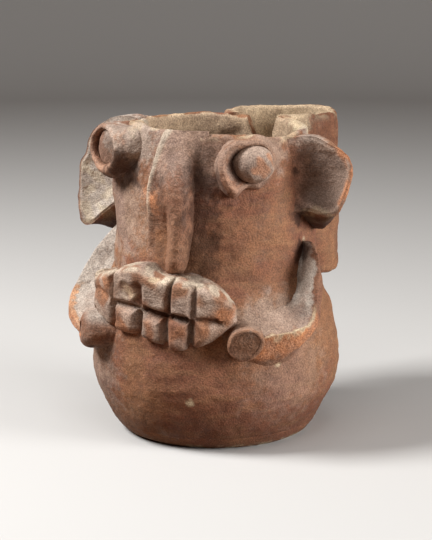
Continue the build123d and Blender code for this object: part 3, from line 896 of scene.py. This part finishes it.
# Points round an ear, out to its edge and over the edge, and rounding passes of its corners
EAR_SPOKES = 220
EAR_ACROSS = 44
EAR_OVER = 16
EAR_EASE = 14


def outline(corners, middle):
    """Points at even angles round a middle, on a closed line through corners, with the corners rounded."""
    way = np.array(corners, float) - middle
    turn = np.arctan2(way[:, 1], way[:, 0])
    order = np.argsort(turn)
    reach = np.hypot(*way.T)[order]
    at = np.linspace(-math.pi, math.pi, EAR_SPOKES, endpoint=False)
    far = eased(np.interp(at, turn[order], reach, period=2 * math.pi)[None], EAR_EASE)[0]
    return middle + np.stack([far * np.cos(at), far * np.sin(at)], axis=-1)


def ear(node, shape):
    """A cupped lump: its front runs from a sunk middle to the front line and on over the edge.

    Lines are (x, z) corners seen from the front. Points lie on straight spokes from the middle. How far front
    and back lie to the rear follows the reach from the axis, and the front is dished.
    """
    middle = np.array(shape["middle"], float)
    front = outline(shape["front"], middle)[:, None, :]
    back = outline(shape["back"], middle)[:, None, :]
    out = np.linspace(0, 1, EAR_ACROSS)[None, :]
    face = middle + out[..., None] * (front - middle)
    dished = shape["dish"] * (1 - out**2) + 1.2 * blend(0.88, 1.0, out)
    face_y = follow(shape["front_y"], np.abs(face[..., 0])) + dished
    bend = np.linspace(0, 1, EAR_OVER)[None, 1:-1]
    edge = front + bend[..., None] * (back - front)
    spoke = edge - middle
    spoke /= np.linalg.norm(spoke, axis=-1, keepdims=True)
    edge = edge + (1.3 * np.sin(bend * math.pi))[..., None] * spoke
    back_y = follow(shape["back_y"], np.abs(back[..., 0]))
    edge_y = face_y[:, -1:] + bend * (back_y - face_y[:, -1:])
    behind = out[:, ::-2]
    rear = middle + behind[..., None] * (back - middle)
    rear_y = follow(shape["back_y"], np.abs(rear[..., 0])) + 1.5 * (1 - behind**2)
    seen = np.concatenate([face, edge, rear], axis=1)
    depth = np.concatenate([face_y, edge_y, rear_y], axis=1)
    grid = seated(hand_swells(np.stack([seen[..., 0], depth, seen[..., 1]], axis=-1)))
    place = np.arange(grid.shape[1])[None, :]
    on_face = blend(out.size, out.size - 6, place)
    on_edge = blend(out.size - 14, out.size - 6, place) * blend(out.size + 11, out.size + 4, place)
    ragged = waves(grid, 9, 45)
    outer = blend(shape["worn_from"], shape["worn_from"] + 5, np.abs(grid[..., 0]))
    worn = shape["worn"] * on_edge * outer * blend(-1.2, 0.4, ragged)
    low_edge = on_edge * (1 - outer) * blend(146, 136, grid[..., 2]) * blend(-0.9, 0.5, ragged)
    # Painted shade on the underside at the lower end of the ear.
    under = 0.85 * blend(out.size - 2, out.size + 4, place) * blend(142, 131, grid[..., 2])
    # Painted shade over the outer part of the face, fading towards the top.
    painted_face_shade = shape["painted_face_shade"] * on_face * (1 - on_edge) * blend(54, 61, np.abs(grid[..., 0]) + 2 * ragged)
    painted_face_shade *= blend(176, 160, grid[..., 2])
    pale = np.maximum(0.5 * low_edge, shape["pale"] * on_face * blend(-1.0, 1.0, ragged))
    grey = shape["grey"] * on_face * (1 - worn) * blend(52, 64, np.abs(grid[..., 0]))
    clay_piece(node, grid, PRESSED_CLAY, worn=worn, grey=grey, pale=pale, dark=np.maximum(under, painted_face_shade))


# Ears: lines seen from the front, y of front and back by reach from the axis, depth of the dish, and marks,
# whose dark on the face is painted shade
RIGHT_EAR = {
    "middle": (69, 150),
    "front": (
        (30, 168), (50, 173), (57, 175.2), (62, 175.8), (67.6, 174.8), (73.8, 172.4), (80.6, 170.4),
        (84.6, 168), (88, 164.3), (88.7, 158.9), (88.2, 152.2), (86.4, 144.2), (83.2, 137.1),
        (80.6, 132.3), (73.1, 130.9), (65.4, 132.8), (58.3, 133.6), (52.4, 130.5), (30, 130),
    ),
    "back": (
        (30, 166), (57, 171), (68, 171.5), (76, 167.5), (81, 162.5), (83, 156), (82.5, 149), (80, 141),
        (77, 133.5), (72, 127.5), (66, 122.5), (58, 120.2), (30, 120),
    ),
    "front_y": (
        (28, -24), (45, -17), (51, -12.5), (56, -9), (62, -6.6), (71, -6), (78, -6.8), (83, -7.6),
        (90, -8.8),
    ),
    "back_y": ((28, 26), (50, 20), (62, 11), (75, 3), (90, -2)),
    "dish": 5.5,
    "grey": 0.5,
    "painted_face_shade": 0.52,
    "pale": 0.0,
    "worn": 0.85,
    "worn_from": 76,
}
LEFT_EAR = {
    "middle": (-66, 145),
    "front": (
        (-40, 178), (-60, 180.0), (-67, 178.4), (-72, 175.0), (-76.5, 171), (-80, 166), (-81.6, 160),
        (-83.4, 156.5), (-86.6, 150.9), (-88.4, 143.4), (-88.5, 134.2), (-88.2, 122.1), (-87.2, 114),
        (-84.4, 111.0), (-80.3, 112.5), (-73, 120.5), (-65.9, 126.4), (-61, 129), (-40, 131),
    ),
    "back": (
        (-40, 178), (-62, 177), (-70, 172), (-76, 165), (-79, 157), (-82, 148), (-84, 136), (-83, 122),
        (-79, 112.5), (-73, 109.5), (-66, 109), (-60, 109.5), (-40, 110),
    ),
    "front_y": ((28, -8), (50, -10), (60, -11), (90, -11)),
    "back_y": ((28, 10), (50, 8), (62, 6), (90, -4)),
    "dish": 4.0,
    "grey": 0.95,
    "painted_face_shade": 0.0,
    "pale": 0.4,
    "worn": 0.2,
    "worn_from": 84,
}


# Arms

# Stations along each arm: reach from the axis and drop below the shoulder of root, free edge and low edge,
# depth of the trough below the edge, and thickness of the lip
RIGHT_ARM = {
    "azimuth": (89, 86.5, 81, 76.5, 70.5, 67.5, 60, 50, 41),
    "root_drop": (-19.5, -18.5, -8, 4, 9, 11, 13, 16, 19),
    "edge_reach": (58.5, 63.5, 71, 77.5, 83, 84.5, 83.5, 79.5, 75),
    "edge_drop": (-18, -19.5, -16.5, -9, 6, 17.5, 23, 27, 30.5),
    "low_reach": (58.5, 64.5, 73, 80, 84.5, 85, 81, 76.5, 71.5),
    "low_drop": (-16, -13, -4, 6, 19, 26, 34.5, 40, 41),
    "root_low": (-13, -6, 6, 18, 34, 42, 48, 49, 45),
    "trough": (1, 6, 9, 8.5, 2.4, -3, -5, -5.5, -6),
    "lip": (2, 4, 5, 5, 4.5, 3, 2, 2, 2),
}
LEFT_ARM = {
    **RIGHT_ARM,
    "root_drop": (-26, -26, -20, -8, 2, 6, 11, 15, 19),
    "edge_reach": (60.5, 66, 70.5, 77, 83.5, 87.5, 85, 80, 75.5),
    "edge_drop": (-27, -26, -18.5, -9, 4, 12, 20, 26.5, 30.5),
    "low_reach": (57, 62, 67, 73.5, 82, 87, 86, 80.5, 75.5),
    "low_drop": (-16, -13, -4, 6, 18, 25, 27, 31, 34),
    "root_low": (-13, -6, 6, 16, 26, 31, 34, 37, 40),
    "trough": (0.5, 1, 2, 2.5, 0, -2.5, -4, -5.5, -6),
    "lip": (3, 4, 5, 5, 5, 5, 4, 3, 2),
}

# Wear of each arm: share of the arm from which its lip is broken, how pale the break is, how many points in
# from the lip the bare clay and the dust begin, and dust on the upper face along the arm
RIGHT_ARM_WEAR = {
    "broken": 0.52,
    "pale_edge": 0.7,
    "bare_from": 3,
    "dust_from": 8,
    "dust": ((0, 0.3), (0.2, 0.8), (0.45, 0.95), (0.6, 0.55), (1, 0.4)),
}
LEFT_ARM_WEAR = {
    "broken": 0.5,
    "pale_edge": 0.25,
    "bare_from": 7,
    "dust_from": -3,
    "dust": ((0, 0.95), (0.55, 0.95), (0.72, 0.8), (1, 0.3)),
}

# Points along an arm and along each run of its section, and rounding passes of its corners
ARM_ALONG = 200
ARM_RUNS = (16, 18, 8, 12, 26, 20)
ARM_EASE = 9

# How much lower the left arm sits
LEFT_ARM_DROP = 7.0


def arm(node, side, shape, lower, wear):
    """A sling of clay: upright sections carried round the jar, each a trough, a round lip and an underside.

    The trough starts high on the jar's wall, sags and turns out to the lip. Where the lip is broken, the bare
    clay shows as a band.
    """
    share = np.linspace(0, 1, ARM_ALONG)
    place = np.linspace(0, 1, len(shape["azimuth"]))
    line = {name: follow(np.stack([place, values], axis=-1), share) for name, values in shape.items()}
    level = SHOULDER_HEIGHT - lower

    def corner(reach, drop):
        return np.stack([reach, level - drop], axis=-1)

    root = jar_radius(level - line["root_drop"]) - 2
    run = line["edge_reach"] - line["lip"] - root
    trough = corner(root + 0.45 * run, line["edge_drop"] + line["trough"])
    lip_in = corner(root + run, line["edge_drop"] + 0.6)
    lip = corner(line["edge_reach"], line["edge_drop"])
    low = corner(line["low_reach"], line["low_drop"])
    root_low = corner(jar_radius(level - line["root_low"]) - 4, line["root_low"])
    corners = [corner(root, line["root_drop"]), trough, lip_in, lip, low, root_low]
    loop = eased(along(corners, ARM_RUNS), ARM_EASE)
    azimuth = np.broadcast_to(side * line["azimuth"][:, None], loop.shape[:2])
    grid = capped(seated(hand_swells(round_jar(azimuth, loop[..., 0], loop[..., 1]))))
    lip_at = sum(ARM_RUNS[:3])
    low_at = sum(ARM_RUNS[:4])
    ragged = waves(grid, 9, 55) + 0.6 * waves(grid, 3.4, 56)
    at = np.arange(loop.shape[1])[None, :] + 1.6 * ragged
    way = np.pad(share, 1, mode="edge")[:, None]
    gone = blend(wear["broken"], wear["broken"] + 0.08, way)
    bare = lip_at - wear["bare_from"]
    worn = blend(bare, bare + 3, at) * blend(low_at + 8, low_at, at) * gone
    edge = wear["pale_edge"] * blend(lip_at - 8, lip_at - 4, at) * blend(lip_at + 3, lip_at - 1, at) * gone
    dusty = lip_at - wear["dust_from"]
    grey = follow(wear["dust"], way + 0.03 * ragged) * blend(dusty + 3, dusty - 2, at) * (1 - worn)
    clay_piece(node, grid, PRESSED_CLAY, ring=False, worn=0.95 * worn, pale=edge, grey=grey)


# Hands: reach of the face, how much lower it sits, azimuth that it looks along and rounding of its edge
RIGHT_HAND = {
    "side": 1, "size": 9.8, "reach": 81.0, "lower": 0.0, "turn": 29.0, "soft": 1.8,
    "face_dirt": 0.5, "top_dust": 0.2,
}
LEFT_HAND = {
    "side": -1, "size": 11.8, "reach": 83.0, "lower": LEFT_ARM_DROP - 4.0, "turn": -56.0, "soft": 6.5,
    "face_dirt": 0.0, "top_dust": 0.8,
}
HAND_AZIMUTH = 40.5
HAND_DROP = 30.5
HAND_ROOT = 30.0
HAND_DISH = 0.9

# Points round a hand, along its side, over its edge and across its face
HAND_AROUND = 120
HAND_UP = 24
HAND_OVER = 10
HAND_ACROSS = 22


def hand_disc(node, side, size, reach, lower, turn, soft, face_dirt, top_dust):
    """A stub turned round its own axis: a straight side, a rounded edge and a face with a shallow dish."""
    front = round_jar(side * HAND_AZIMUTH, reach, SHOULDER_HEIGHT - HAND_DROP - lower)
    axis, sideways = level_axis(turn)
    angle = np.linspace(0, 2 * math.pi, HAND_AROUND, endpoint=False)[:, None]
    bend = np.linspace(0, math.pi / 2, HAND_OVER)
    side_height = np.linspace(-HAND_ROOT, -soft, HAND_UP)
    across = np.linspace(size - soft, 0, HAND_ACROSS)
    edge = size - soft + soft * np.cos(bend)
    radius = np.concatenate([[0.0], 0 * side_height + size, edge, across])[None, :]
    dish = -HAND_DISH * (1 - (across / size) ** 2)
    height = np.concatenate([[-HAND_ROOT], side_height, -soft + soft * np.sin(bend), dish])
    radius = radius * (1 + 0.03 * np.sin(2 * angle) + 0.02 * np.sin(3 * angle + 1))
    grid = front + (radius * np.cos(angle))[..., None] * sideways + height[None, :, None] * axis
    grid[..., 2] += radius * np.sin(angle)
    grid = seated(hand_swells(grid))
    face = face_dirt * blend(-soft, -0.2, height)[None, :] * blend(size, size - 2, radius)
    dust = top_dust * blend(0.2, 0.8, np.sin(angle)) * blend(-0.2, -soft, height)[None, :]
    clay_piece(node, grid, PRESSED_CLAY, dark=face, grey=dust)


base_slab()
belly_wall()
neck_wall()
tube_wall()
tube_floor()
nose_bar()
mouth_slab()
eye_ring("right_eye_ring", RIGHT_EYE, RIGHT_RING)
eye_ring("left_eye_ring", LEFT_EYE, LEFT_RING)
eye_pellet("right_eye_pellet", **RIGHT_PELLET)
eye_pellet("left_eye_pellet", **LEFT_PELLET)
ear("right_ear", RIGHT_EAR)
ear("left_ear", LEFT_EAR)
arm("right_arm", 1, RIGHT_ARM, 0.0, RIGHT_ARM_WEAR)
arm("left_arm", -1, LEFT_ARM, LEFT_ARM_DROP, LEFT_ARM_WEAR)
hand_disc("right_hand_disc", **RIGHT_HAND)
hand_disc("left_hand_disc", **LEFT_HAND)


# Studio, in metres

FLOOR_MIDDLE = 0.02
FLOOR_RADIUS = 1.8
FLOOR_BEND = 0.9
FLOOR_WALL = 3.5
FLOOR_SEEN = "#C9C7C4"
FLOOR_THROWN = "#6A4C34"

# Soft lights: name, azimuth, elevation, distance, side of the square, watts
LIGHTS = (
    ("key_left", -51.0, 46.0, 1.3, 0.5, 25.0),
    ("side_right", 94.0, 12.0, 1.4, 0.6, 22.0),
    ("top_front", 25.0, 66.0, 1.3, 0.8, 5.0),
)
LIGHT_AIM = (0.0, 0.0, 0.1)
FILL_COLOUR = "#F0BC88"
FILL_STRENGTH = 0.05

# Camera: place, degrees that it looks down and stands round to the right, lens and sensor in millimetres
CAMERA_PLACE = (0.4721, -0.8517, 0.2971)
CAMERA_DOWN = 11.88
CAMERA_ROUND = 29.0
CAMERA_LENS = 113.33
CAMERA_SENSOR = 36.0


def studio_floor():
    """A pale floor turned round the jar that sweeps up on all sides: level, a quarter bend, then upright.

    It looks pale to the camera and throws only little light back at the jar, whose underside stays dark.
    """
    bend = np.linspace(0, math.pi / 2, 24)
    sweep = FLOOR_RADIUS + FLOOR_BEND * np.sin(bend)
    radius = np.concatenate([[FLOOR_MIDDLE], sweep, [FLOOR_RADIUS + FLOOR_BEND]])
    rise = np.concatenate([[0.0], FLOOR_BEND * (1 - np.cos(bend)), [FLOOR_WALL]])
    turn = np.linspace(0, 2 * math.pi, 96, endpoint=False)[:, None]
    points = np.stack(np.broadcast_arrays(radius * np.cos(turn), radius * np.sin(turn), rise), axis=-1)
    index = np.arange(points.shape[0] * points.shape[1]).reshape(points.shape[:2])
    beside = np.roll(index, -1, axis=0)
    faces = np.stack([beside[:, :-1], beside[:, 1:], index[:, 1:], index[:, :-1]], axis=-1).reshape(-1, 4)
    middle = index[:, 0]
    mesh = bpy.data.meshes.new("studio_floor")
    mesh.from_pydata(points.reshape(-1, 3).tolist(), [], faces.tolist() + [middle.tolist()])
    mesh.polygons.foreach_set("use_smooth", np.ones(len(mesh.polygons), bool))
    paper = new_material("matt_pale_backdrop_paper")
    tree = paper.node_tree
    ray = add_node(tree, "ShaderNodeLightPath", {}).outputs
    seen = {0: ray["Is Camera Ray"], 1: ray["Is Glossy Ray"]}
    seen = add_node(tree, "ShaderNodeMath", seen, operation="MAXIMUM").outputs[0]
    seen = {0: seen, 1: ray["Is Transmission Ray"]}
    seen = add_node(tree, "ShaderNodeMath", seen, operation="MAXIMUM").outputs[0]
    tone = {0: seen, 6: linear(FLOOR_THROWN), 7: linear(FLOOR_SEEN)}
    tone = add_node(tree, "ShaderNodeMix", tone, data_type="RGBA").outputs[2]
    matt_surface(tree, {"Base Color": tone, "Roughness": 0.9})
    mesh.materials.append(paper)
    floor = placed("studio_floor", mesh)


def soft_light(name, azimuth, elevation, far, size, watts):
    """A square soft light at an azimuth and elevation round the jar, turned to its middle."""
    level = math.radians(elevation)
    turned = math.radians(azimuth)
    start = far * round_jar(azimuth, math.cos(level), math.sin(level))
    lamp = bpy.data.lights.new(name, "AREA")
    lamp.size = size
    lamp.energy = watts
    light = placed(name, lamp)
    light.location = start + np.array(LIGHT_AIM)
    light.rotation_euler = (math.pi / 2 - level, 0.0, turned)


def studio():
    """Soft lights from the left, from the right and weakly from above, and a faint even fill."""
    for light in LIGHTS:
        soft_light(*light)
    world = bpy.data.worlds.new("even_fill")
    world.use_nodes = True
    fill = world.node_tree.nodes["Background"].inputs
    fill["Color"].default_value = linear(FILL_COLOUR)
    fill["Strength"].default_value = FILL_STRENGTH
    bpy.context.scene.world = world
    bpy.context.scene.view_settings.view_transform = "Standard"


def camera():
    """Camera at the photograph's viewing angle: 29 degrees to the right of the face, a little above."""
    data = bpy.data.cameras.new("camera")
    data.lens = CAMERA_LENS
    data.sensor_width = CAMERA_SENSOR
    view = placed("camera", data)
    view.location = CAMERA_PLACE
    view.rotation_euler = (math.radians(90 - CAMERA_DOWN), 0.0, math.radians(CAMERA_ROUND))
    bpy.context.scene.camera = view


studio_floor()
studio()
camera()
